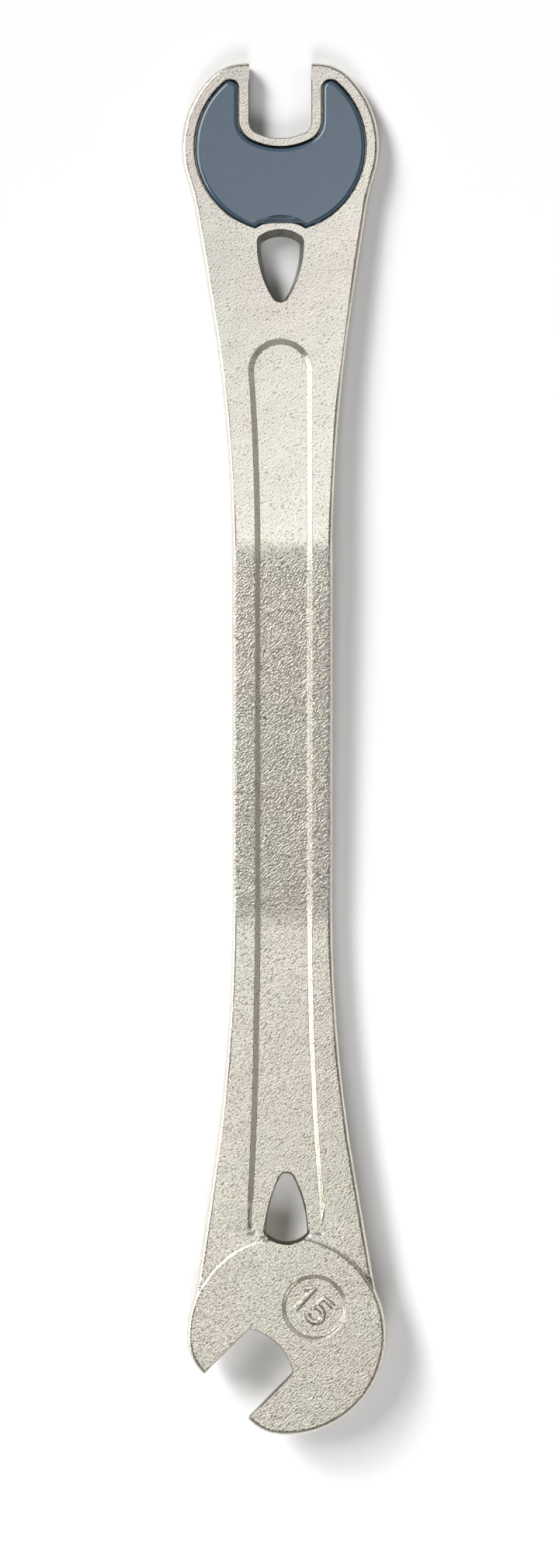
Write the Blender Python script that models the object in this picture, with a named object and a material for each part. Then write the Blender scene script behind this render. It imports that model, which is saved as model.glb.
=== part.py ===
"""Pedal wrench: a long flat forging with a 15 mm jaw at each end.

The tool is drawn flat, with its length along Y and its parting plane at z = 0, and all cuts are made in
that state. Then the shank gets its extra thickness, the two necks are cranked, and the wrench is laid
down as it comes to rest: on the tips of the straight jaw and on the bend before the angled jaw.

Units are metres, +Z is up, and the straight jaw opens towards +Y.
"""

import math

import bmesh
import bpy
from mathutils import Matrix, Vector

# Heads and jaws
JAW_WIDTH = 0.0152
HEAD_SPACING = 0.2894
HEAD_RADIUS = 0.02425
STRAIGHT_PRONG_SETBACK = 0.0037
ANGLED_PRONG_SETBACK = 0.0031
PRONG_END_RADIUS = 0.0116
PRONG_CORNER_RADIUS = 0.0008
JAW_ROOT_RADIUS = 0.0135
STRAIGHT_JAW_THICKNESS = 0.0056
STRAIGHT_JAW_ROOT = 0.0017
STRAIGHT_JAW_CORNERS = (0.0030, 0.0030)
STRAIGHT_HEAD_SHIFT = -0.0005
ANGLED_JAW_THICKNESS = 0.0060
ANGLED_JAW_ROOT = 0.0030
ANGLED_JAW_CORNERS = (0.0018, 0.0008)
ANGLED_HEAD_SHIFT = 0.0010
ANGLED_JAW_TURN = math.radians(135)
DISC_STEP = 0.0006
DISC_RAMP = 0.0017
DISC_RAMP_RISE = 0.0004
DISC_OVERHANG = 0.00045

# Shank, necks and cranks
SHANK_WIDTH = 0.0246
SHANK_THICKNESS = 0.0080
FLANK_INSET = 0.00075
FLANK_LENGTH = 0.0705
FLANK_BLEND = 0.0325
NECK_FILLET = 0.043
NECK_LENGTH = 0.0998
BEND_LENGTH = 0.016
STRAIGHT_NECK_BEND = math.radians(-3.55)
ANGLED_NECK_BEND = math.radians(5.3)
STRAIGHT_NECK_TAPER = 0.066
ANGLED_NECK_TAPER = 0.067
SIDE_DRAFT = math.radians(7)
EDGE_RADIUS = 0.0011
CORE_HALF = 0.0008
NECK_TUCK = 0.0003
NECK_OVERLAP = 0.00975

# Channel on both faces of the shank
CHANNEL_WIDTH = 0.0137
CHANNEL_DEPTH = 0.0013
CHANNEL_WALL_SLOPE = math.radians(39)
CHANNEL_SHIFT = 0.0003
CHANNEL_HOLE_GAP = 0.0095
CHANNEL_CORNER_RADIUS = 0.0015
CHANNEL_END_GAP = 0.0002
CHANNEL_STRAIGHT_SPREAD = 1.3
CHANNEL_ANGLED_SPREAD = 1.0

# Through holes at the two necks: a wide arc, two bowed sides and a narrow round end
STRAIGHT_HOLE_HALF_WIDTH = 0.0052
STRAIGHT_HOLE_ARC = 0.0082
STRAIGHT_HOLE_SIDE = 0.0262
STRAIGHT_HOLE_END = 0.0017
STRAIGHT_HOLE_LENGTH = 0.0169
STRAIGHT_HOLE_CORNER = 0.0013
ANGLED_HOLE_HALF_WIDTH = 0.0050
ANGLED_HOLE_ARC = 0.0068
ANGLED_HOLE_SIDE = 0.0292
ANGLED_HOLE_END = 0.0018
ANGLED_HOLE_LENGTH = 0.0165
ANGLED_HOLE_CORNER = 0.0004
ANGLED_HOLE_BITE = 0.0018
STRAIGHT_HOLE_DRAFT = math.radians(8.5)
ANGLED_HOLE_DRAFT = math.radians(12)

# Inlay and its pocket round the straight jaw
POCKET_RIM = 0.00315
POCKET_DROP = 0.0003
POCKET_JAW_WALL = 0.0024
POCKET_ROOT_LIFT = 0.0004
POCKET_DEPTH = 0.0018
POCKET_TIP_RADIUS = 0.0023
POCKET_CUSP_RADIUS = 0.0005
POCKET_HOLE_BAND = 0.0025
POCKET_NOTCH = 0.0028
INLAY_GAP = 0.0003
INLAY_RISE = 0.0003
INLAY_EDGE_RADIUS = 0.0012

# Round recess for the size number on the angled head
RECESS_RADIUS = 0.00775
RECESS_DISTANCE = 0.0095
RECESS_DEPTH = 0.0008
RECESS_WALL_SLOPE = math.radians(40)

# Looks
BODY_COLOUR = (0.78, 0.76, 0.72)
BODY_ROUGHNESS = 0.32
INLAY_COLOUR = (0.15, 0.19, 0.23)
INLAY_ROUGHNESS = 0.28
SMOOTH_ANGLE = math.radians(32)

# How finely curves are cut into straight runs
CHORD_ERROR = 0.00003
CORNER_RADIUS_LIMIT = 0.004
CORNER_STEPS = 4
SPREAD_STATIONS = 8
BEND_STATIONS = 4

# Rounds that bring a repeated calculation to rest
CORNER_ROUNDS = 20
SETTLE_ROUNDS = 6

STRAIGHT_CENTRE = Vector((STRAIGHT_HEAD_SHIFT, HEAD_SPACING / 2))
ANGLED_CENTRE = Vector((ANGLED_HEAD_SHIFT, -HEAD_SPACING / 2))
SLAB_HALF = STRAIGHT_JAW_THICKNESS / 2
DISC_HALF = SLAB_HALF + DISC_STEP
JAW_HALF = JAW_WIDTH / 2
DISC_FOOT_RADIUS = HEAD_RADIUS + DISC_OVERHANG

# How far a cutter runs past a face, and the least gap that keeps two faces apart
OVERRUN = 0.001
SLIVER = 0.00005


def arc(centre, radius, start, end, hollow=False):
    """Points and outward normals along an arc from direction start to direction end.

    A full arc runs counter-clockwise. A hollow one runs clockwise, and its outward side faces its centre.
    """
    first = math.atan2(start[1], start[0])
    sweep = math.atan2(end[1], end[0]) - first
    sweep = -((-sweep) % math.tau) if hollow else sweep % math.tau
    finest = 2 * math.acos(max(0.0, 1 - CHORD_ERROR / radius))
    steps = max(CORNER_STEPS if radius < CORNER_RADIUS_LIMIT else 1, math.ceil(abs(sweep) / finest))
    side = -1 if hollow else 1
    points = []
    for i in range(steps + 1):
        angle = first + sweep * i / steps
        radial = Vector((math.cos(angle), math.sin(angle)))
        points.append((centre + radius * radial, side * radial))
    return points


def circle(centre, radius):
    """A whole circle, counter-clockwise."""
    count = math.ceil(math.pi / math.acos(1 - CHORD_ERROR / radius))
    points = []
    for i in range(count):
        angle = math.tau * i / count
        direction = Vector((math.cos(angle), math.sin(angle)))
        points.append((centre + radius * direction, direction))
    return points


def meeting(first, first_radius, second, second_radius, towards):
    """Where two circles cross, on the side that the direction towards points to."""
    gap = second - first
    along = (gap.length_squared + first_radius ** 2 - second_radius ** 2) / (2 * gap.length)
    across = math.sqrt(max(0.0, first_radius ** 2 - along ** 2))
    axis = gap.normalized()
    normal = Vector((-axis.y, axis.x))
    if normal.dot(towards) < 0:
        normal.negate()
    return first + axis * along + normal * across


def turned(outline, angle, centre):
    """An outline that was drawn about the origin, turned and moved to centre."""
    turn = Matrix.Rotation(angle, 2)
    return [(centre + turn @ point, turn @ normal) for point, normal in outline]


def prong_arc_centre(setback):
    """Centre of the arc at the end of the right prong of a jaw that opens towards +Y."""
    height = HEAD_RADIUS - setback - PRONG_END_RADIUS
    return Vector((math.sqrt(max(0.0, (HEAD_RADIUS - PRONG_END_RADIUS) ** 2 - height ** 2)), height))


def prong_ends(setback):
    """The two prong ends, from the right prong's shoulder to the left one's."""
    right = prong_arc_centre(setback)
    left = Vector((-right.x, right.y))
    up = Vector((0, 1))
    return arc(right, PRONG_END_RADIUS, right, up) + arc(left, PRONG_END_RADIUS, up, left)


def disc_outline():
    """The angled head about the origin: prong ends towards +Y and the circle round the back."""
    right = prong_arc_centre(ANGLED_PRONG_SETBACK)
    left = Vector((-right.x, right.y))
    back = arc(Vector((0, 0)), HEAD_RADIUS, left, right)
    return prong_ends(ANGLED_PRONG_SETBACK) + back[1:-1]


def flank(centre, radius, along, side):
    """One side of a neck, from the head to the shank: fillet, straight flank and long curve.

    along is -1 where the shank runs towards -Y from this head and +1 where it runs towards +Y; side is -1
    on the left and +1 on the right. It returns the fillet's centre and the arcs, head first.
    """
    def place(out, down):
        return Vector((side * out, centre.y + along * down))

    def direction(out, down):
        return Vector((side * out, along * down))

    shift = side * centre.x
    flank_reach = HEAD_RADIUS - FLANK_INSET
    reach = flank_reach + shift
    half = SHANK_WIDTH / 2
    angle = math.atan2(reach - half, FLANK_LENGTH)
    cosine, sine = math.cos(angle), math.sin(angle)
    offset = flank_reach + NECK_FILLET * cosine
    b = NECK_FILLET * sine * cosine - offset * sine
    c = offset ** 2 + (NECK_FILLET * sine) ** 2 - (radius + NECK_FILLET) ** 2
    run = -b + math.sqrt(max(0.0, b * b - c))
    fillet = place(shift + offset - run * sine, run * cosine + NECK_FILLET * sine)
    curve_radius = FLANK_BLEND / math.tan(angle / 2)
    curve = place(half + curve_radius, FLANK_LENGTH + FLANK_BLEND)
    flank_side = direction(-cosine, -sine)
    shank_side = direction(-1, 0)
    hollow_first = along * side > 0
    if hollow_first:
        fillet_arc = arc(fillet, NECK_FILLET, centre - fillet, flank_side, hollow=True)
        curve_arc = arc(curve, curve_radius, flank_side, shank_side, hollow=True)
        return fillet, fillet_arc + curve_arc
    curve_arc = arc(curve, curve_radius, shank_side, flank_side, hollow=True)
    fillet_arc = arc(fillet, NECK_FILLET, flank_side, centre - fillet, hollow=True)
    return fillet, curve_arc + fillet_arc


def blank_outline():
    """Straight head, shank and both necks, ending inside the disc of the angled head."""
    head, tail = STRAIGHT_CENTRE, ANGLED_CENTRE
    tucked_radius = HEAD_RADIUS - NECK_TUCK
    left_fillet, left_top = flank(head, HEAD_RADIUS, -1, -1)
    right_fillet, right_top = flank(head, HEAD_RADIUS, -1, 1)
    left_bottom = flank(tail, tucked_radius, 1, -1)[1]
    right_bottom = flank(tail, tucked_radius, 1, 1)[1]
    right_prong = prong_arc_centre(STRAIGHT_PRONG_SETBACK)
    left_prong = Vector((-right_prong.x, right_prong.y))
    ends = [(head + point, normal) for point, normal in prong_ends(STRAIGHT_PRONG_SETBACK)]
    left_cheek = arc(head, HEAD_RADIUS, left_prong, left_fillet - head)
    right_cheek = arc(head, HEAD_RADIUS, right_fillet - head, right_prong)
    hidden_end = arc(tail, HEAD_RADIUS - NECK_OVERLAP, Vector((-1, 0)), Vector((1, 0)))
    sides = left_top + left_bottom + hidden_end + right_bottom + right_top
    return tidy(ends + left_cheek + sides + right_cheek)


def tidy(outline):
    """Drop points that repeat the one before, such as where two arcs join."""
    kept = []
    for point, normal in outline:
        if not kept or (point - kept[-1][0]).length > 1e-6:
            kept.append((point, normal))
    if (kept[0][0] - kept[-1][0]).length < 1e-6:
        kept.pop()
    return kept


def jaw_corner(side, corner, root):
    """Centre of the small arc between the root and one face of a jaw that opens towards +Y."""
    across = JAW_HALF - corner
    rise = math.sqrt(max(0.0, (JAW_ROOT_RADIUS - corner) ** 2 - across ** 2))
    return Vector((side * across, root + JAW_ROOT_RADIUS - rise))


def jaw_outline(root, corners, setback):
    """The gap between the prongs, about the head's centre; its mouth rounds out to the prong ends."""
    root_centre = Vector((0, root + JAW_ROOT_RADIUS))
    right = jaw_corner(1, corners[1], root)
    left = jaw_corner(-1, corners[0], root)
    mouth = HEAD_RADIUS - setback + SLIVER
    beyond = HEAD_RADIUS + OVERRUN
    lip = JAW_HALF + PRONG_CORNER_RADIUS
    down, up = Vector((0, -1)), Vector((0, 1))
    east, west = Vector((1, 0)), Vector((-1, 0))
    right_lip = Vector((lip, mouth - PRONG_CORNER_RADIUS))
    left_lip = Vector((-lip, mouth - PRONG_CORNER_RADIUS))
    outline = arc(left, corners[0], west, left - root_centre)
    outline += arc(root_centre, JAW_ROOT_RADIUS, left - root_centre, right - root_centre)
    outline += arc(right, corners[1], right - root_centre, east)
    outline += arc(right_lip, PRONG_CORNER_RADIUS, west, up, hollow=True)
    outline += [(Vector((lip, beyond)), east), (Vector((-lip, beyond)), west)]
    outline += arc(left_lip, PRONG_CORNER_RADIUS, up, east, hollow=True)
    return tidy(outline)


def pocket_outline(inset):
    """The pocket round the straight jaw, drawn smaller all round by inset."""
    centre = Vector((0, -POCKET_DROP))
    outer = HEAD_RADIUS - POCKET_RIM
    wall = JAW_HALF + POCKET_JAW_WALL
    tip_radius = POCKET_TIP_RADIUS
    tip = Vector((wall + tip_radius, centre.y))
    tip.y += math.sqrt(max(0.0, (outer - tip_radius) ** 2 - tip.x ** 2))
    notch_centre, notch_radius = notch()
    cusp_radius = POCKET_CUSP_RADIUS
    cusp = meeting(centre, outer - cusp_radius, notch_centre, notch_radius + cusp_radius, Vector((1, 0)))
    root = STRAIGHT_JAW_ROOT + POCKET_ROOT_LIFT
    root_centre = Vector((0, root + JAW_ROOT_RADIUS))
    right = jaw_corner(1, STRAIGHT_JAW_CORNERS[1], root)
    left = jaw_corner(-1, STRAIGHT_JAW_CORNERS[0], root)
    left_tip = Vector((-tip.x, tip.y))
    left_cusp = Vector((-cusp.x, cusp.y))
    east, west = Vector((1, 0)), Vector((-1, 0))
    root_band = JAW_ROOT_RADIUS + POCKET_JAW_WALL
    outline = arc(centre, outer, cusp - centre, tip - centre)
    outline += arc(tip, tip_radius, tip - centre, west)
    outline += arc(right, STRAIGHT_JAW_CORNERS[1] + POCKET_JAW_WALL, east, right - root_centre, hollow=True)
    outline += arc(root_centre, root_band, right - root_centre, left - root_centre, hollow=True)
    outline += arc(left, STRAIGHT_JAW_CORNERS[0] + POCKET_JAW_WALL, left - root_centre, west, hollow=True)
    outline += arc(left_tip, tip_radius, east, left_tip - centre)
    outline += arc(centre, outer, left_tip - centre, left_cusp - centre)
    outline += arc(left_cusp, cusp_radius, left_cusp - centre, notch_centre - left_cusp)
    outline += arc(notch_centre, notch_radius, left_cusp - notch_centre, cusp - notch_centre, hollow=True)
    outline += arc(cusp, cusp_radius, notch_centre - cusp, cusp - centre)
    return [(point - inset * normal, normal) for point, normal in tidy(outline)]


def notch():
    """Centre and radius of the pocket's lower notch, about the head's centre. It rings the hole's arc."""
    radius = STRAIGHT_HOLE_ARC + POCKET_HOLE_BAND
    pocket_bottom = -POCKET_DROP - (HEAD_RADIUS - POCKET_RIM)
    return Vector((0, pocket_bottom + POCKET_NOTCH - radius)), radius


def hole_outline(half_width, arc_radius, side_radius, end_radius, length, corner):
    """A through hole about the centre of its wide arc, which faces +Y; its narrow end points to -Y."""
    end = Vector((0, arc_radius - length + end_radius))
    drop = math.sqrt(max(0.0, (side_radius - end_radius) ** 2 - (side_radius - half_width) ** 2))
    side = Vector((half_width - side_radius, end.y + drop))
    top = Vector((0, 0))
    right = meeting(side, side_radius - corner, top, arc_radius - corner, Vector((1, 1)))
    other_side = Vector((-side.x, side.y))
    left = Vector((-right.x, right.y))
    outline = arc(top, arc_radius, right, left)
    outline += arc(left, corner, left, left - other_side)
    outline += arc(other_side, side_radius, left - other_side, end - other_side)
    outline += arc(end, end_radius, end - other_side, end - side)
    outline += arc(side, side_radius, end - side, right - side)
    outline += arc(right, corner, right - side, right)
    return tidy(outline)


def straight_hole_centre():
    """Where the wide arc of the hole by the straight head has its centre."""
    return STRAIGHT_CENTRE + notch()[0]


def angled_hole_centre():
    """Where the wide arc of the hole by the angled head has its centre. The arc bites into the disc."""
    return ANGLED_CENTRE + Vector((0, HEAD_RADIUS - ANGLED_HOLE_BITE + ANGLED_HOLE_ARC))


def channel_outline():
    """The shank's channel: round by the straight hole, parallel in the middle, wide at the disc."""
    top_kink = STRAIGHT_CENTRE.y - NECK_LENGTH
    low_kink = ANGLED_CENTRE.y + NECK_LENGTH
    hole_tip = straight_hole_centre().y + STRAIGHT_HOLE_ARC - STRAIGHT_HOLE_LENGTH
    middle = CHANNEL_WIDTH / 2

    def half(y):
        """The channel's half width, which spreads towards both heads."""
        if y > top_kink:
            return middle + (y - top_kink) ** 2 / (2 * CHANNEL_STRAIGHT_SPREAD)
        if y < low_kink:
            return middle + (y - low_kink) ** 2 / (2 * CHANNEL_ANGLED_SPREAD)
        return middle

    top_end = hole_tip - CHANNEL_HOLE_GAP
    radius = half(top_end - middle)
    top = Vector((0, top_end - radius))
    end_radius = DISC_FOOT_RADIUS + CHANNEL_END_GAP
    end_y = ANGLED_CENTRE.y + end_radius

    def axis(y):
        """The channel leans from the straight head's centre line to the angled head's."""
        if y > top_kink:
            share = (y - top_kink) / (top.y - top_kink)
            return CHANNEL_SHIFT + (STRAIGHT_HEAD_SHIFT - CHANNEL_SHIFT) * share ** 2
        if y < low_kink:
            share = (low_kink - y) / (low_kink - end_y)
            return CHANNEL_SHIFT + (ANGLED_HEAD_SHIFT - CHANNEL_SHIFT) * share ** 2
        return CHANNEL_SHIFT

    def edge(y, side):
        return Vector((axis(y) + side * half(y), y))

    def stations(start, end):
        return [start + (end - start) * i / SPREAD_STATIONS for i in range(SPREAD_STATIONS + 1)]

    def run(levels, side):
        """Points on one side of the channel, with their normals."""
        points = []
        for y in levels:
            slope = edge(y + SLIVER, side) - edge(y - SLIVER, side)
            points.append((edge(y, side), Vector((side * slope.y, -side * slope.x)).normalized()))
        return points

    corner = CHANNEL_CORNER_RADIUS
    ring = end_radius + corner
    corners = {}
    for side in (-1, 1):
        y = end_y
        for _ in range(CORNER_ROUNDS):
            x = edge(y, side).x - side * corner
            y = ANGLED_CENTRE.y + math.sqrt(max(0.0, ring ** 2 - (x - ANGLED_CENTRE.x) ** 2))
        corners[side] = Vector((x, y))
    left, right = corners[-1], corners[1]
    east, west = Vector((1, 0)), Vector((-1, 0))
    top.x = axis(top.y)
    outline = arc(top, radius, east, west)
    outline += run(stations(top.y, top_kink)[1:] + stations(low_kink, left.y), -1)
    outline += arc(left, corner, west, ANGLED_CENTRE - left)[1:]
    outline += arc(ANGLED_CENTRE, end_radius, left - ANGLED_CENTRE, right - ANGLED_CENTRE, hollow=True)
    outline += arc(right, corner, ANGLED_CENTRE - right, east)[:-1]
    outline += run(stations(right.y, low_kink) + stations(top_kink, top.y)[:-1], 1)
    return tidy(outline)


def mesh_object(name, bm):
    """A new object in the scene that holds the bmesh."""
    bmesh.ops.recalc_face_normals(bm, faces=bm.faces)
    mesh = bpy.data.meshes.new(name)
    bm.to_mesh(mesh)
    bm.free()
    thing = bpy.data.objects.new(name, mesh)
    bpy.context.collection.objects.link(thing)
    return thing


def stack(name, outline, levels):
    """A solid through one outline at several heights; levels holds (height, inset) from the bottom up."""
    bm = bmesh.new()
    loops = []
    for height, inset in levels:
        loop = []
        for point, normal in outline:
            moved = point - inset * normal
            loop.append(bm.verts.new((moved.x, moved.y, height)))
        loops.append(loop)
    count = len(outline)
    for low, high in zip(loops, loops[1:]):
        for i in range(count):
            j = (i + 1) % count
            bm.faces.new((low[i], low[j], high[j], high[i]))
    bm.faces.new(list(reversed(loops[0])))
    bm.faces.new(loops[-1])
    return mesh_object(name, bm)


def forged_levels(half):
    """Heights and insets of a forged rim: draft from the parting plane, then a rounded edge."""
    shoulder = half - EDGE_RADIUS
    draft = shoulder * math.tan(SIDE_DRAFT)
    upper = [(0.0, 0.0)]
    for i in range(CORNER_STEPS + 1):
        angle = math.pi / 2 * i / CORNER_STEPS
        rounding = EDGE_RADIUS * (1 - math.cos(angle))
        upper.append((shoulder + EDGE_RADIUS * math.sin(angle), draft + rounding))
    lower = [(-height, inset) for height, inset in reversed(upper[1:])]
    return lower + upper


def cut(target, cutter, operation="DIFFERENCE"):
    """Combine the cutter with the target at once, and remove the cutter."""
    cutter.hide_render = True
    cutter.display_type = "WIRE"
    modifier = target.modifiers.new(cutter.name, "BOOLEAN")
    modifier.operation = operation
    modifier.solver = "EXACT"
    modifier.object = cutter
    graph = bpy.context.evaluated_depsgraph_get()
    result = bpy.data.meshes.new_from_object(target.evaluated_get(graph))
    target.modifiers.remove(modifier)
    old = target.data
    target.data = result
    bpy.data.meshes.remove(old)
    bpy.data.objects.remove(cutter)


def through(name, outline, front_draft=0.0, back_draft=0.0):
    """A cutter through both faces. A positive draft widens it from the parting plane to that face."""
    reach = DISC_HALF + OVERRUN
    levels = [(-reach, -reach * math.tan(back_draft)), (0.0, 0.0), (reach, -reach * math.tan(front_draft))]
    return stack(name, outline, levels)


def sunk(name, outline, surface, depth, slope, face=1):
    """A cutter that sinks the outline into one face, with walls that lean back by slope."""
    lean = math.tan(slope)
    levels = [(surface - depth, depth * lean), (surface + OVERRUN, -OVERRUN * lean)]
    if face < 0:
        levels = [(-height, inset) for height, inset in reversed(levels)]
    return stack(name, outline, levels)


def disc_ramp():
    """The sloped foot that the disc has where it stands on the neck, trimmed by the neck's own sides."""
    top = SLAB_HALF + DISC_RAMP_RISE
    levels = [(-top, DISC_RAMP), (-SLAB_HALF, 0.0), (SLAB_HALF, 0.0), (top, DISC_RAMP)]
    ramp = stack("disc_ramp", circle(ANGLED_CENTRE, DISC_FOOT_RADIUS), levels)
    neck_levels = [(height, inset + SLIVER) for height, inset in forged_levels(DISC_HALF)]
    cut(ramp, stack("tall_neck", blank_outline(), neck_levels), "INTERSECT")
    return ramp


def forge_body():
    """The forging, flat: blank and disc joined, then jaws, holes, channels, pocket and recess cut out."""
    body = stack("forged_body", blank_outline(), forged_levels(SLAB_HALF))
    cut(body, disc_ramp(), "UNION")
    disc = turned(disc_outline(), ANGLED_JAW_TURN, ANGLED_CENTRE)
    cut(body, stack("disc", disc, forged_levels(DISC_HALF)), "UNION")
    straight_jaw = jaw_outline(STRAIGHT_JAW_ROOT, STRAIGHT_JAW_CORNERS, STRAIGHT_PRONG_SETBACK)
    angled_jaw = jaw_outline(ANGLED_JAW_ROOT, ANGLED_JAW_CORNERS, ANGLED_PRONG_SETBACK)
    cut(body, through("straight_jaw", turned(straight_jaw, 0, STRAIGHT_CENTRE)))
    cut(body, through("angled_jaw", turned(angled_jaw, ANGLED_JAW_TURN, ANGLED_CENTRE)))
    straight_hole = hole_outline(STRAIGHT_HOLE_HALF_WIDTH, STRAIGHT_HOLE_ARC, STRAIGHT_HOLE_SIDE,
                                 STRAIGHT_HOLE_END, STRAIGHT_HOLE_LENGTH, STRAIGHT_HOLE_CORNER)
    angled_hole = hole_outline(ANGLED_HOLE_HALF_WIDTH, ANGLED_HOLE_ARC, ANGLED_HOLE_SIDE,
                               ANGLED_HOLE_END, ANGLED_HOLE_LENGTH, ANGLED_HOLE_CORNER)
    straight_hole = turned(straight_hole, 0, straight_hole_centre())
    angled_hole = turned(angled_hole, math.pi, angled_hole_centre())
    cut(body, through("straight_hole", straight_hole, STRAIGHT_HOLE_DRAFT, -STRAIGHT_HOLE_DRAFT))
    cut(body, through("angled_hole", angled_hole, ANGLED_HOLE_DRAFT, ANGLED_HOLE_DRAFT))
    for face in (1, -1):
        cut(body, sunk("channel", channel_outline(), SLAB_HALF, CHANNEL_DEPTH, CHANNEL_WALL_SLOPE, face))
    pocket = turned(pocket_outline(0), 0, STRAIGHT_CENTRE)
    cut(body, sunk("pocket", pocket, SLAB_HALF, POCKET_DEPTH, 0.0))
    behind = Matrix.Rotation(ANGLED_JAW_TURN, 2) @ Vector((0, -RECESS_DISTANCE))
    recess = circle(ANGLED_CENTRE + behind, RECESS_RADIUS)
    cut(body, sunk("recess", recess, DISC_HALF, RECESS_DEPTH, RECESS_WALL_SLOPE))
    return body


def mould_inlay():
    """The plastic inlay, flat: it fills the pocket but for its gap, and its top edge is rounded."""
    floor = SLAB_HALF - POCKET_DEPTH + INLAY_GAP
    top = SLAB_HALF + INLAY_RISE
    levels = [(floor, 0.0)]
    for i in range(CORNER_STEPS + 1):
        angle = math.pi / 2 * i / CORNER_STEPS
        fall = INLAY_EDGE_RADIUS * (1 - math.sin(angle))
        levels.append((top - fall, INLAY_EDGE_RADIUS * (1 - math.cos(angle))))
    outline = turned(pocket_outline(INLAY_GAP), 0, STRAIGHT_CENTRE)
    return stack("head_inlay", outline, levels)


def added_thickness(y):
    """How far each face moves out from the parting plane at this place along the wrench."""
    shank = SHANK_THICKNESS / 2 - SLAB_HALF
    angled = ANGLED_JAW_THICKNESS / 2 - DISC_HALF
    top = STRAIGHT_CENTRE.y - NECK_LENGTH + BEND_LENGTH / 2
    low = ANGLED_CENTRE.y + NECK_LENGTH - BEND_LENGTH / 2
    if y > top:
        share = min(1.0, (y - top) / STRAIGHT_NECK_TAPER)
        return shank * (1 - share)
    if y < low:
        share = min(1.0, (low - y) / ANGLED_NECK_TAPER)
        return shank + (angled - shank) * share
    return shank


def bend(point, start, along, angle):
    """Wrap what lies past start round an arc of BEND_LENGTH, and carry the rest on straight."""
    distance = (point.y - start) * along
    if distance <= 0:
        return point
    radius = BEND_LENGTH / angle
    turn = angle * min(1.0, distance / BEND_LENGTH)
    beyond = max(0.0, distance - BEND_LENGTH)
    reach = (radius - point.z) * math.sin(turn) + beyond * math.cos(turn)
    height = radius - (radius - point.z) * math.cos(turn) + beyond * math.sin(turn)
    return Vector((point.x, start + along * reach, height))


def shape_along(thing):
    """Cut the flat mesh across at each station, thicken the shank and bend both necks."""
    top = STRAIGHT_CENTRE.y - NECK_LENGTH - BEND_LENGTH / 2
    low = ANGLED_CENTRE.y + NECK_LENGTH + BEND_LENGTH / 2
    stations = [top + BEND_LENGTH + STRAIGHT_NECK_TAPER, low - BEND_LENGTH - ANGLED_NECK_TAPER]
    stations += [top + BEND_LENGTH * i / BEND_STATIONS for i in range(BEND_STATIONS + 1)]
    stations += [low - BEND_LENGTH * i / BEND_STATIONS for i in range(BEND_STATIONS + 1)]
    bm = bmesh.new()
    bm.from_mesh(thing.data)
    bmesh.ops.remove_doubles(bm, verts=bm.verts, dist=1e-6)
    for y in stations:
        parts = bm.verts[:] + bm.edges[:] + bm.faces[:]
        bmesh.ops.bisect_plane(bm, geom=parts, dist=1e-7, plane_co=(0, y, 0), plane_no=(0, 1, 0))
    for vert in bm.verts:
        share = max(-1.0, min(1.0, vert.co.z / CORE_HALF))
        vert.co.z += added_thickness(vert.co.y) * share
        vert.co = bend(vert.co, top, 1, STRAIGHT_NECK_BEND)
        vert.co = bend(vert.co, low, -1, ANGLED_NECK_BEND)
    bm.to_mesh(thing.data)
    bm.free()


def balance_point(mesh):
    """The place along Y where the solid balances."""
    volume, moment = 0.0, 0.0
    mesh.calc_loop_triangles()
    for triangle in mesh.loop_triangles:
        a, b, c = (mesh.vertices[i].co for i in triangle.vertices)
        part = a.dot(b.cross(c)) / 6
        volume += part
        moment += part * (a.y + b.y + c.y) / 4
    return moment / volume


def settle(body, others):
    """Tip the wrench until it rests at both ends of its balance point, then centre it over the origin."""
    things = [body] + others
    for _ in range(SETTLE_ROUNDS):
        balance = balance_point(body.data)
        corners = [vert.co for vert in body.data.vertices]
        ahead = min((co for co in corners if co.y > balance), key=lambda co: co.z)
        behind = min((co for co in corners if co.y < balance), key=lambda co: co.z)
        angle = math.atan2(ahead.z - behind.z, ahead.y - behind.y)
        for thing in things:
            thing.data.transform(Matrix.Rotation(-angle, 4, "X"))
    corners = [vert.co for vert in body.data.vertices]
    low = Vector([min(co[i] for co in corners) for i in range(3)])
    high = Vector([max(co[i] for co in corners) for i in range(3)])
    shift = Vector((-(low.x + high.x) / 2, -(low.y + high.y) / 2, -low.z))
    for thing in things:
        thing.data.transform(Matrix.Translation(shift))


def finish(thing, colour, metallic, roughness):
    """Material and smooth shading."""
    material = bpy.data.materials.new(thing.name)
    material.use_nodes = True
    shader = material.node_tree.nodes["Principled BSDF"]
    shader.inputs["Base Color"].default_value = (*colour, 1.0)
    shader.inputs["Metallic"].default_value = metallic
    shader.inputs["Roughness"].default_value = roughness
    thing.data.materials.clear()
    thing.data.materials.append(material)
    thing.data.shade_smooth()
    thing.data.set_sharp_from_angle(angle=SMOOTH_ANGLE)


def main():
    for thing in list(bpy.data.objects):
        bpy.data.objects.remove(thing)
    body = forge_body()
    inlay = mould_inlay()
    for thing in (body, inlay):
        shape_along(thing)
    settle(body, [inlay])
    finish(body, BODY_COLOUR, 1.0, BODY_ROUGHNESS)
    finish(inlay, INLAY_COLOUR, 0.0, INLAY_ROUGHNESS)


main()
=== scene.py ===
"""A forged pedal wrench lying on a white table: its satin nickel plate, its plastic inlay and its size number."""

import math

import bmesh
import bpy
from mathutils import Matrix, Vector
from mathutils.bvhtree import BVHTree


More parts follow.
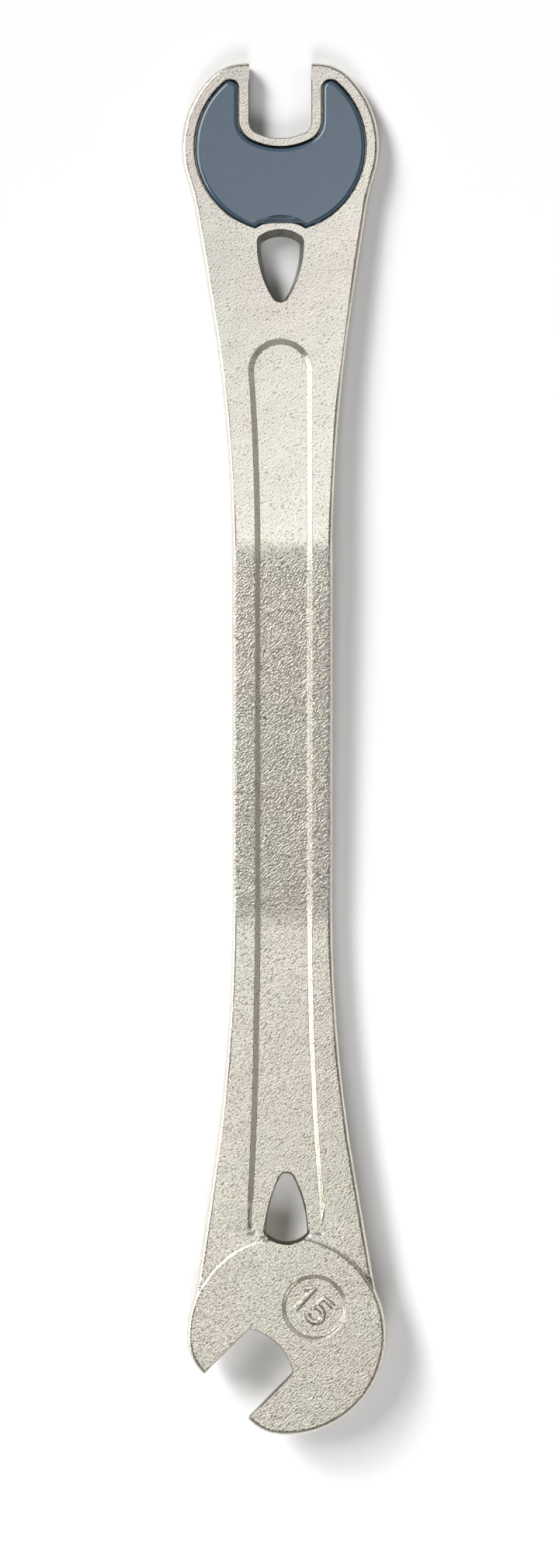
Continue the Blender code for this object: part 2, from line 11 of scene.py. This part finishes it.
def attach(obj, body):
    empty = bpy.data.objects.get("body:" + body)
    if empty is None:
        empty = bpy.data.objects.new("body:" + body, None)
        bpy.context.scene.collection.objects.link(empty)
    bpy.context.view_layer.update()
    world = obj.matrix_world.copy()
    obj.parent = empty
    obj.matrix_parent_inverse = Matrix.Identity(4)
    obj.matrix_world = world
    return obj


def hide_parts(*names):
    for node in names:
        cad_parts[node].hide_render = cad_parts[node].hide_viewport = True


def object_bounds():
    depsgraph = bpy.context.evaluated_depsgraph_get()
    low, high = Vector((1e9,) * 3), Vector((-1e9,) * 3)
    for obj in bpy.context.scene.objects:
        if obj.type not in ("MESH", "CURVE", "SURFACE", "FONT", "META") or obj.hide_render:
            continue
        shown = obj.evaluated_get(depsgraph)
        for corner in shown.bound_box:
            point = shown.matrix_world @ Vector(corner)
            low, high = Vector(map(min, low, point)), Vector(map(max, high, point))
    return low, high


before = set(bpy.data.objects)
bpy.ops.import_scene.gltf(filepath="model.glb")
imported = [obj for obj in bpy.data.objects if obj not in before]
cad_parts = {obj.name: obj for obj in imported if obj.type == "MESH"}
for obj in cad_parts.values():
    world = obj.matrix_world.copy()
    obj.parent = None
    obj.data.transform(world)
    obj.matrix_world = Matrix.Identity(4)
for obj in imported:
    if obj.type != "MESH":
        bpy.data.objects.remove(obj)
cad_low, cad_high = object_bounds()

# All lengths are in metres. Vertices this close are one.
MERGE = 1e-6

# The camera hangs straight above the wrench.
CAMERA_SPOT = (-0.00095, -0.0092, 0.9026)
CAMERA_LENS = 84.46
SENSOR = 36.0

# Soft lamps, which show in the plate and in the plastic's gloss: name, place, target, width, height, brightness as
# seen and colour
SOFT_LAMPS = [
    ("key", (-0.80, 0.80, 0.95), (0.0, 0.0, 0.0), 1.0, 0.7, 3.6, (1.0, 1.0, 1.0)),
    ("top", (0.0, 0.42, 1.3), (0.14, 0.28, 0.0), 0.9, 0.45, 0.76, (0.97, 0.99, 1.07)),
    ("middle", (0.0, 0.05, 1.4), (0.1, -0.05, 0.0), 1.0, 0.25, 1.38, (0.99, 1.0, 1.02)),
    ("left", (-1.3, 0.0, 0.45), (0.0, 0.0, 0.0), 0.8, 0.6, 2.8, (0.96, 1.0, 1.05)),
    ("foot", (0.0, -0.17, 0.30), (0.0, -0.14, 0.0), 0.20, 0.12, 0.33, (1.0, 1.0, 1.0)),
]
# Plain light for the table and everything dull, from a near lamp in front, given as the soft lamps are, and from far
# away: name, the way it comes from and its height in degrees, and its strength
FRONT_LAMP = ("front", (0.0, -0.90, 1.07), (0.0, 0.0, 0.0), 0.6, 0.6, 6.6, (1.0, 1.0, 1.0))
PLAIN_LIGHT = [("upper_left", 135.0, 35.0, 1.80), ("left_high", 150.0, 50.0, 1.20), ("right", 0.0, 50.0, 0.20)]
PLAIN_SPREAD = math.radians(20)

# The surroundings: dim overhead, paler towards the table in what the plate shows, and white behind the picture.
# HORIZON_TOP and OVERHEAD are the upward shares of a direction between which the one turns into the other.
WORLD_COLOUR = (0.98, 0.99, 1.03, 1.0)
WORLD_LEVEL = 0.10
HORIZON_LEVEL = 0.42
HORIZON_TOP = 0.50
OVERHEAD = 0.75

# The table's shade as it lights the wrench, and as the camera and the plate see it
TABLE_SHADE = 0.80
TABLE_SEEN = 1.0
TABLE_SIZE = 6.0

# Edges of the forging: an edge is rounded where the surfaces beside it have room for that, probed at three shares of
# its length. What lies next to an edge without room stays sharp too.
FLAT_ANGLE = math.radians(0.6)
CREASE_ANGLE = math.radians(1)
SHARP_ANGLE = math.radians(30)
SMOOTH_ANGLE = math.radians(35)
EDGE_WIDTH = 0.0002
EDGE_ROOM = 0.00018
EDGE_SEGMENTS = 3
LONGEST_EDGE = 0.004
SHARP_SHARE = 0.45
SOFT_SHARE = 0.9
PROBES = (0.1, 0.5, 0.9)
TIGHT_NEIGHBOURS = 2

# The blasted grain runs slantwise over the plate. How strong it and the coarser pits are along the wrench is given
# as pairs of a place and a share.
GRAIN_TURN = math.radians(40)
GRAIN_ALONG = [(-0.17, 0.38), (-0.125, 0.38), (-0.115, 0.28), (-0.044, 0.28), (-0.036, 1.0), (0.043, 1.0),
               (0.050, 0.18), (0.17, 0.18)]
PITS_ALONG = [(-0.17, 0.25), (-0.125, 0.25), (-0.115, 0.18), (-0.044, 0.18), (-0.036, 1.0), (0.043, 1.0),
              (0.050, 0.09), (0.17, 0.09)]

# These walls and rims take a darker steel: painted shade in the openings.
# Where the walls and rims of the openings lie: the jaws by the middle of their head and the way they open, and the
# holes by their middle line, the stretch of the wrench that they take and how level their rims are. Beside the disc's
# foot only a hole's upright walls count.
RIM_SLOPE = 0.97
WALL_SLOPE = 0.5
JAWS = [((-0.00075, 0.14638), math.radians(90)), ((0.00075, -0.14268), math.radians(225))]
JAW_REACH = 0.0079
JAW_ROOT = -0.001
JAW_END = 0.0196
HOLES = [(-0.0007, 0.106, 0.1285, RIM_SLOPE), (0.0008, -0.119, -0.1015, RIM_SLOPE),
         (0.0008, -0.1255, -0.119, WALL_SLOPE)]
HOLE_REACH = 0.0057

# The size number stands in the round sunken panel, read from the upper left to the lower right. Its strokes are
# points to the right and up from the panel's middle. The five's bowl is an arc, in degrees, whose point of number
# BAR_MEETS_BOWL also ends the bar.
PANEL_SPOT = (0.00741, -0.1356)
NUMBER_TURN = math.radians(-43)
STROKE_BASE = 0.00078
STROKE_TOP = 0.00050
STROKE_RISE = 0.00055
STROKE_SUNK = 0.00025
STROKE_SHOULDER = 0.9
STROKE_CROWN = 0.7
ONE_STEM = [(-0.0028, 0.0036), (-0.0028, -0.0037)]
ONE_FLAG = [(-0.0027, 0.0034), (-0.0046, 0.0014)]
FIVE_BAR = [(0.0037, 0.0030), (0.0004, 0.0030), (0.00025, 0.0002)]
BOWL_CENTRE = Vector((0.00160, -0.00130))
BOWL_RADII = (0.00182 * 1.05, 0.00182)
BOWL_START = 140
BOWL_SWEEP = 290
BOWL_STEPS = 24
BAR_MEETS_BOWL = 2


def deselect():
    bpy.ops.object.select_all(action="DESELECT")


def choose(thing):
    deselect()
    thing.select_set(True)
    bpy.context.view_layer.objects.active = thing


def apply_modifier(thing, kind, **settings):
    choose(thing)
    modifier = thing.modifiers.new(kind.lower(), kind)
    for name, value in settings.items():
        setattr(modifier, name, value)
    bpy.ops.object.modifier_apply(modifier=modifier.name)


def node_copy(node_name, name):
    """A merged copy of a CAD node, whose flat faces are whole again."""
    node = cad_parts[node_name]
    mesh = node.data.copy()
    mesh.name = name
    mesh.materials.clear()
    piece = bpy.data.objects.new(name, mesh)
    bpy.context.scene.collection.objects.link(piece)
    choose(piece)
    bpy.ops.object.mode_set(mode="EDIT")
    bpy.ops.mesh.select_all(action="SELECT")
    bpy.ops.mesh.remove_doubles(threshold=MERGE)
    bpy.ops.mesh.dissolve_limited(angle_limit=FLAT_ANGLE)
    bpy.ops.object.mode_set(mode="OBJECT")
    return piece


def smooth(piece):
    choose(piece)
    bpy.ops.object.shade_smooth_by_angle(angle=SMOOTH_ANGLE)
    apply_modifier(piece, "WEIGHTED_NORMAL", keep_sharp=True)


def crease(edge):
    return edge.calc_face_angle(0.0)


def room_beside(edge, face, start, way):
    """How far a line across the surface, square to an edge, runs before it meets a crease, and that crease."""
    reach = EDGE_WIDTH / SHARP_SHARE
    gone = 0.0
    while gone < reach:
        side = face.normal.cross(way)
        nearest = None
        for other in face.edges:
            first = other.verts[0].co - start
            second = other.verts[1].co - start
            first_side = first.dot(side)
            second_side = second.dot(side)
            if other is edge or (first_side > 0) == (second_side > 0):
                continue
            meeting = first.lerp(second, first_side / (first_side - second_side))
            along = meeting.dot(way)
            if along > -MERGE and (nearest is None or along < nearest[0]):
                nearest = (along, other, start + meeting)
        if nearest is None:
            break
        along, edge, start = nearest
        gone += max(along, 0.0)
        if crease(edge) > CREASE_ANGLE:
            return gone, edge
        face = next(other for other in edge.link_faces if other is not face)
    return reach, None


def has_room(edge):
    if edge.calc_length() < EDGE_WIDTH:
        return False
    first, second = (vert.co for vert in edge.verts)
    for face in edge.link_faces:
        way = face.normal.cross(second - first).normalized()
        if (face.calc_center_median() - first).dot(way) < 0:
            way = -way
        for share in PROBES:
            gone, met = room_beside(edge, face, first.lerp(second, share), way)
            if met and gone * (SHARP_SHARE if crease(met) > SHARP_ANGLE else SOFT_SHARE) < EDGE_ROOM:
                return False
    return True


def round_edges(piece):
    """Rounds the sharp edges of a piece, but for those that lie close beside another crease, and their neighbours."""
    mesh = bmesh.new()
    mesh.from_mesh(piece.data)
    weight = mesh.edges.layers.float.new("bevel_weight_edge")
    long_edges = [edge for edge in mesh.edges if crease(edge) > SHARP_ANGLE and edge.calc_length() > LONGEST_EDGE]
    for edge in long_edges:
        bmesh.ops.subdivide_edges(mesh, edges=[edge], cuts=int(edge.calc_length() / LONGEST_EDGE))
    sharp = [edge for edge in mesh.edges if crease(edge) > SHARP_ANGLE]
    tight = {edge for edge in sharp if not has_room(edge)}
    for _ in range(TIGHT_NEIGHBOURS):
        corners = {vert for edge in tight for vert in edge.verts}
        tight.update(edge for edge in sharp if corners.intersection(edge.verts))
    for edge in sharp:
        edge[weight] = 0.0 if edge in tight else 1.0
    mesh.to_mesh(piece.data)
    mesh.free()
    apply_modifier(piece, "BEVEL", width=EDGE_WIDTH, segments=EDGE_SEGMENTS, limit_method="WEIGHT",
                   use_clamp_overlap=False)


# Materials

class NodeTree:
    """A node tree and what materials and surroundings both need in it."""

    def __init__(self, tree):
        self.tree = tree

    def add(self, kind, **settings):
        node = self.tree.nodes.new(kind)
        for name, value in settings.items():
            setattr(node, name, value)
        return node

    def link(self, source, target):
        self.tree.links.new(source, target)

    def share(self, value, low, high, start=0.0, end=1.0, **settings):
        """A value that runs from low to high while another runs from start to end."""
        node = self.add("ShaderNodeMapRange", **settings)
        node.inputs["From Min"].default_value = start
        node.inputs["From Max"].default_value = end
        node.inputs["To Min"].default_value = low
        node.inputs["To Max"].default_value = high
        self.link(value, node.inputs["Value"])
        return node.outputs["Result"]

    def larger(self, first, second):
        node = self.add("ShaderNodeMath", operation="MAXIMUM")
        self.link(first, node.inputs[0])
        self.link(second, node.inputs[1])
        return node.outputs[0]


class Nodes(NodeTree):
    """A material's node tree, with its shader and its object coordinates at hand."""

    def __init__(self, name):
        self.material = bpy.data.materials.new(name)
        self.material.use_nodes = True
        super().__init__(self.material.node_tree)
        self.shader = self.tree.nodes["Principled BSDF"]
        self.place = self.add("ShaderNodeTexCoord").outputs["Object"]

    def noise(self, scale, detail=2.0, roughness=0.5, stretch=None, turn=0.0):
        node = self.add("ShaderNodeTexNoise")
        node.inputs["Scale"].default_value = scale
        node.inputs["Detail"].default_value = detail
        node.inputs["Roughness"].default_value = roughness
        place = self.place
        if stretch:
            mapping = self.add("ShaderNodeMapping", vector_type="TEXTURE")
            mapping.inputs["Scale"].default_value = stretch
            mapping.inputs["Rotation"].default_value = (0.0, 0.0, turn)
            self.link(place, mapping.inputs["Vector"])
            place = mapping.outputs["Vector"]
        self.link(place, node.inputs["Vector"])
        return node.outputs["Fac"]

    def ramp(self, value, stops):
        node = self.add("ShaderNodeValToRGB")
        ramp = node.color_ramp
        while len(ramp.elements) < len(stops):
            ramp.elements.new(0.5)
        for element, (position, colour) in zip(ramp.elements, stops):
            element.position = position
            element.color = (*colour, 1.0)
        self.link(value, node.inputs["Fac"])
        return node.outputs["Color"]

    def bump(self, height, depth, before=None, strength=None):
        node = self.add("ShaderNodeBump")
        node.inputs["Strength"].default_value = 1.0
        node.inputs["Distance"].default_value = depth
        self.link(height, node.inputs["Height"])
        if before:
            self.link(before, node.inputs["Normal"])
        if strength:
            self.link(strength, node.inputs["Strength"])
        return node.outputs["Normal"]

    def along(self, axis, stops):
        """A value that changes along one axis: pairs of a place and the value there."""
        parts = self.add("ShaderNodeSeparateXYZ")
        self.link(self.place, parts.inputs[0])
        first, last = stops[0][0], stops[-1][0]
        share = self.share(parts.outputs[axis], 0.0, 1.0, first, last)
        return self.ramp(share, [((at - first) / (last - first), (value,) * 3) for at, value in stops])


def satin_nickel():
    """Nickel plate over a shot-blasted forging: close dimples whose hollows are painted darker and browner as painted
    shade, sparse dark pits, fine grain, slow unevenness.
    """
    nodes = Nodes("satin_nickel")
    dimples = nodes.noise(2900.0, detail=1.0, stretch=(1.7, 1.0, 1.0), turn=GRAIN_TURN)
    pits = nodes.noise(1300.0, roughness=0.55, stretch=(1.5, 1.0, 1.0), turn=GRAIN_TURN)
    grain = nodes.noise(7500.0, detail=1.0)
    slow = nodes.noise(110.0, detail=1.0)
    tint = nodes.noise(45.0, detail=1.0)
    rough = nodes.along("Y", GRAIN_ALONG)
    coarse = nodes.along("Y", PITS_ALONG)
    normal = nodes.bump(slow, 0.00012)
    normal = nodes.bump(pits, 0.00012, normal, coarse)
    normal = nodes.bump(dimples, 0.00026, normal, rough)
    normal = nodes.bump(grain, 0.00002, normal, rough)
    nodes.link(normal, nodes.shader.inputs["Normal"])
    # The plate's colour with painted shade: darker and browner where the dimples are low, in their hollows.
    plate = nodes.ramp(dimples, [(0.28, (0.42, 0.36, 0.25)), (0.38, (0.82, 0.775, 0.68)),
                                 (1.0, (0.84, 0.80, 0.72))])
    cast = nodes.ramp(tint, [(0.35, (0.97, 1.0, 0.96)), (0.65, (1.0, 0.965, 0.95))])
    mix = nodes.add("ShaderNodeMix", data_type="RGBA", blend_type="MULTIPLY")
    mix.inputs["Factor"].default_value = 1.0
    nodes.link(plate, mix.inputs["A"])
    nodes.link(cast, mix.inputs["B"])
    nodes.link(mix.outputs["Result"], nodes.shader.inputs["Base Color"])
    nodes.link(nodes.share(grain, 0.17, 0.27), nodes.shader.inputs["Roughness"])
    nodes.shader.inputs["Metallic"].default_value = 1.0
    return nodes.material


def shaded_opening_steel():
    """The cut walls and rims of the jaws and holes: dull steel painted darker than the plate, as painted shade in the
    openings, with random stains and fine upright tool marks.
    """
    nodes = Nodes("shaded_opening_steel")
    marks = nodes.noise(2600.0, stretch=(1.0, 1.0, 14.0))
    stains = nodes.noise(320.0, detail=3.0)
    normal = nodes.bump(marks, 0.00004)
    nodes.link(normal, nodes.shader.inputs["Normal"])
    # Painted shade: the dark colour stands for the shade in the jaws and holes; the stains only vary it.
    colour = nodes.ramp(stains, [(0.35, (0.13, 0.12, 0.095)), (0.65, (0.24, 0.225, 0.185))])
    nodes.link(colour, nodes.shader.inputs["Base Color"])
    nodes.link(nodes.share(marks, 0.26, 0.42), nodes.shader.inputs["Roughness"])
    nodes.shader.inputs["Metallic"].default_value = 1.0
    return nodes.material


def slate_plastic():
    """Moulded slate blue plastic: a fine moulding texture, a few faint scuffs and a clear gloss."""
    nodes = Nodes("slate_plastic")
    cloud = nodes.noise(160.0)
    fine = nodes.noise(5200.0, detail=1.0)
    scuffs = nodes.noise(260.0, detail=3.0, stretch=(8.0, 0.33, 1.0))
    colour = nodes.ramp(cloud, [(0.3, (0.020, 0.058, 0.092)), (0.7, (0.024, 0.064, 0.101))])
    nodes.link(colour, nodes.shader.inputs["Base Color"])
    normal = nodes.bump(cloud, 0.00002)
    normal = nodes.bump(fine, 0.000001, normal)
    nodes.link(normal, nodes.shader.inputs["Normal"])
    nodes.link(nodes.share(scuffs, 0.20, 0.30), nodes.shader.inputs["Roughness"])
    nodes.shader.inputs["IOR"].default_value = 1.75
    nodes.shader.inputs["Specular IOR Level"].default_value = 1.0
    return nodes.material


def table_white():
    """The table: white to the camera and in the wrench's plate, but for the wrench's shadow."""
    nodes = Nodes("table_white")
    nodes.tree.nodes.remove(nodes.shader)
    path = nodes.add("ShaderNodeLightPath")
    seen = nodes.larger(path.outputs["Is Camera Ray"], path.outputs["Is Glossy Ray"])
    paper = nodes.add("ShaderNodeBsdfDiffuse")
    nodes.link(nodes.share(seen, TABLE_SHADE, TABLE_SEEN), paper.inputs["Color"])
    nodes.link(paper.outputs[0], nodes.tree.nodes["Material Output"].inputs["Surface"])
    return nodes.material


# Pieces

def in_opening(centre, normal):
    """Whether a face belongs to a jaw's or a hole's wall or rim, the faces that are painted darker as shade."""
    if abs(normal.z) > RIM_SLOPE:
        return False
    spot = centre.xy
    for jaw_centre, turn in JAWS:
        out = Vector((math.cos(turn), math.sin(turn)))
        away = spot - Vector(jaw_centre)
        if abs(away.cross(out)) < JAW_REACH and JAW_ROOT < away.dot(out) < JAW_END:
            return True
    return any(abs(spot.x - middle) < HOLE_REACH and low < spot.y < high and normal.z < slope
               for middle, low, high, slope in HOLES)


def dress_forging():
    forging = node_copy("forged_body", "wrench_forging")
    round_edges(forging)
    smooth(forging)
    forging.data.materials.append(satin_nickel())
    forging.data.materials.append(shaded_opening_steel())
    for face in forging.data.polygons:
        # The walls and rims of the jaws and holes take the darker steel, which is painted shade.
        face.material_index = int(in_opening(face.center, face.normal))
    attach(forging, "root")
    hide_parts("forged_body")
    return forging


def dress_inlay():
    inlay = node_copy("head_inlay", "slate_inlay")
    smooth(inlay)
    inlay.data.materials.append(slate_plastic())
    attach(inlay, "root")
    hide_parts("head_inlay")


def stroke_profile():
    """A raised stroke cut across: sunk into the panel, wide where it leaves it and narrower at its rounded top."""
    side = [(STROKE_TOP * STROKE_CROWN, STROKE_RISE), (STROKE_TOP, STROKE_RISE * STROKE_SHOULDER),
            (STROKE_BASE, 0.0), (STROKE_BASE, -STROKE_SUNK)]
    outline = [(-across, up) for across, up in reversed(side)] + side
    data = bpy.data.curves.new("stroke_profile", "CURVE")
    data.dimensions = "2D"
    line = data.splines.new("POLY")
    line.points.add(len(outline) - 1)
    for point, (across, up) in zip(line.points, outline):
        point.co = (across, up, 0.0, 1.0)
    line.use_cyclic_u = True
    profile = bpy.data.objects.new("stroke_profile", data)
    bpy.context.scene.collection.objects.link(profile)
    return profile


def raised_stroke(name, points, profile):
    data = bpy.data.curves.new(name, "CURVE")
    data.dimensions = "3D"
    data.twist_mode = "Z_UP"
    data.bevel_mode = "OBJECT"
    data.bevel_object = profile
    data.use_fill_caps = True
    line = data.splines.new("POLY")
    line.points.add(len(points) - 1)
    for point, (x, y) in zip(line.points, points):
        point.co = (x, y, 0.0, 1.0)
    stroke = bpy.data.objects.new(name, data)
    bpy.context.scene.collection.objects.link(stroke)
    choose(stroke)
    bpy.ops.object.convert(target="MESH")
    return bpy.context.object


def surface_under(piece, spot):
    """Where a line straight down from above meets a piece, and the way that its surface faces there."""
    mesh = piece.data
    mesh.calc_loop_triangles()
    tree = BVHTree.FromPolygons([vertex.co for vertex in mesh.vertices],
                                [tuple(triangle.vertices) for triangle in mesh.loop_triangles])
    point, normal, _, _ = tree.ray_cast(Vector((*spot, cad_high[2] + MERGE)), Vector((0.0, 0.0, -1.0)))
    return point, normal


def size_number(forging):
    """The raised 15 in the sunken panel."""
    profile = stroke_profile()
    bowl = []
    for step in range(BOWL_STEPS + 1):
        angle = math.radians(BOWL_START - BOWL_SWEEP * step / BOWL_STEPS)
        bowl.append((BOWL_CENTRE.x + BOWL_RADII[0] * math.cos(angle),
                     BOWL_CENTRE.y + BOWL_RADII[1] * math.sin(angle)))
    strokes = [raised_stroke("one_stem", ONE_STEM, profile), raised_stroke("one_flag", ONE_FLAG, profile),
               raised_stroke("five_bar", FIVE_BAR + [bowl[BAR_MEETS_BOWL]], profile),
               raised_stroke("five_bowl", bowl, profile)]
    bpy.data.objects.remove(profile)
    deselect()
    for stroke in strokes:
        stroke.select_set(True)
    bpy.context.view_layer.objects.active = strokes[0]
    bpy.ops.object.join()
    number = bpy.context.object
    number.name = "size_number"
    spot, normal = surface_under(forging, PANEL_SPOT)
    reading = Vector((math.cos(NUMBER_TURN), math.sin(NUMBER_TURN), 0.0))
    up = normal.cross(reading).normalized()
    reading = up.cross(normal)
    place = Matrix.Translation(spot) @ Matrix((reading, up, normal)).transposed().to_4x4()
    number.data.transform(place)
    choose(number)
    bpy.ops.object.mode_set(mode="EDIT")
    bpy.ops.mesh.select_all(action="SELECT")
    bpy.ops.mesh.remove_doubles(threshold=MERGE)
    bpy.ops.mesh.normals_make_consistent(inside=False)
    bpy.ops.object.mode_set(mode="OBJECT")
    bpy.ops.object.shade_smooth_by_angle(angle=SMOOTH_ANGLE)
    number.data.materials.append(forging.data.materials[0])
    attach(number, "root")


# The studio

def table():
    deselect()
    bpy.ops.mesh.primitive_plane_add(size=TABLE_SIZE, location=(0.0, 0.0, 0.0))
    floor = bpy.context.object
    floor.name = "table"
    floor.data.materials.append(table_white())


def lamp(name, kind):
    light = bpy.data.lights.new(name, kind)
    thing = bpy.data.objects.new(name, light)
    bpy.context.scene.collection.objects.link(thing)
    thing.visible_camera = False
    return thing, light


def softbox(name, spot, target, width, height, level, colour):
    """A rectangular lamp with an even face, turned to its target. Its level is its brightness as seen."""
    thing, light = lamp(name, "AREA")
    light.shape = "RECTANGLE"
    light.size = width
    light.size_y = height
    light.energy = level * math.pi * width * height
    light.color = colour
    thing.location = spot
    thing.rotation_euler = (Vector(target) - Vector(spot)).to_track_quat("-Z", "Y").to_euler()
    return thing


def plain_light(name, way, height, level):
    """Even light from far away with a soft shadow, which the plate doesn't show."""
    thing, light = lamp(name, "SUN")
    light.energy = level
    light.angle = PLAIN_SPREAD
    thing.visible_glossy = False
    thing.rotation_euler = (0.0, math.radians(90.0 - height), math.radians(way))


def surroundings():
    world = bpy.data.worlds.new("studio")
    bpy.context.scene.world = world
    world.use_nodes = True
    nodes = NodeTree(world.node_tree)
    background = world.node_tree.nodes["Background"]
    background.inputs["Color"].default_value = WORLD_COLOUR
    path = nodes.add("ShaderNodeLightPath")
    parts = nodes.add("ShaderNodeSeparateXYZ")
    nodes.link(nodes.add("ShaderNodeTexCoord").outputs["Generated"], parts.inputs[0])
    shown = nodes.share(parts.outputs["Z"], HORIZON_LEVEL, WORLD_LEVEL, HORIZON_TOP, OVERHEAD,
                        interpolation_type="SMOOTHSTEP")
    level = nodes.add("ShaderNodeMix")
    level.inputs["A"].default_value = WORLD_LEVEL
    nodes.link(path.outputs["Is Glossy Ray"], level.inputs["Factor"])
    nodes.link(shown, level.inputs["B"])
    nodes.link(nodes.larger(level.outputs["Result"], path.outputs["Is Camera Ray"]), background.inputs["Strength"])


def studio():
    surroundings()
    for settings in SOFT_LAMPS:
        softbox(*settings).visible_diffuse = False
    softbox(*FRONT_LAMP).visible_glossy = False
    for settings in PLAIN_LIGHT:
        plain_light(*settings)


def camera():
    data = bpy.data.cameras.new("camera")
    data.lens = CAMERA_LENS
    data.sensor_width = SENSOR
    thing = bpy.data.objects.new("camera", data)
    bpy.context.scene.collection.objects.link(thing)
    thing.location = CAMERA_SPOT
    bpy.context.scene.camera = thing


bpy.context.scene.view_settings.view_transform = "Standard"
deselect()
wrench_forging = dress_forging()
dress_inlay()
size_number(wrench_forging)
table()
studio()
camera()
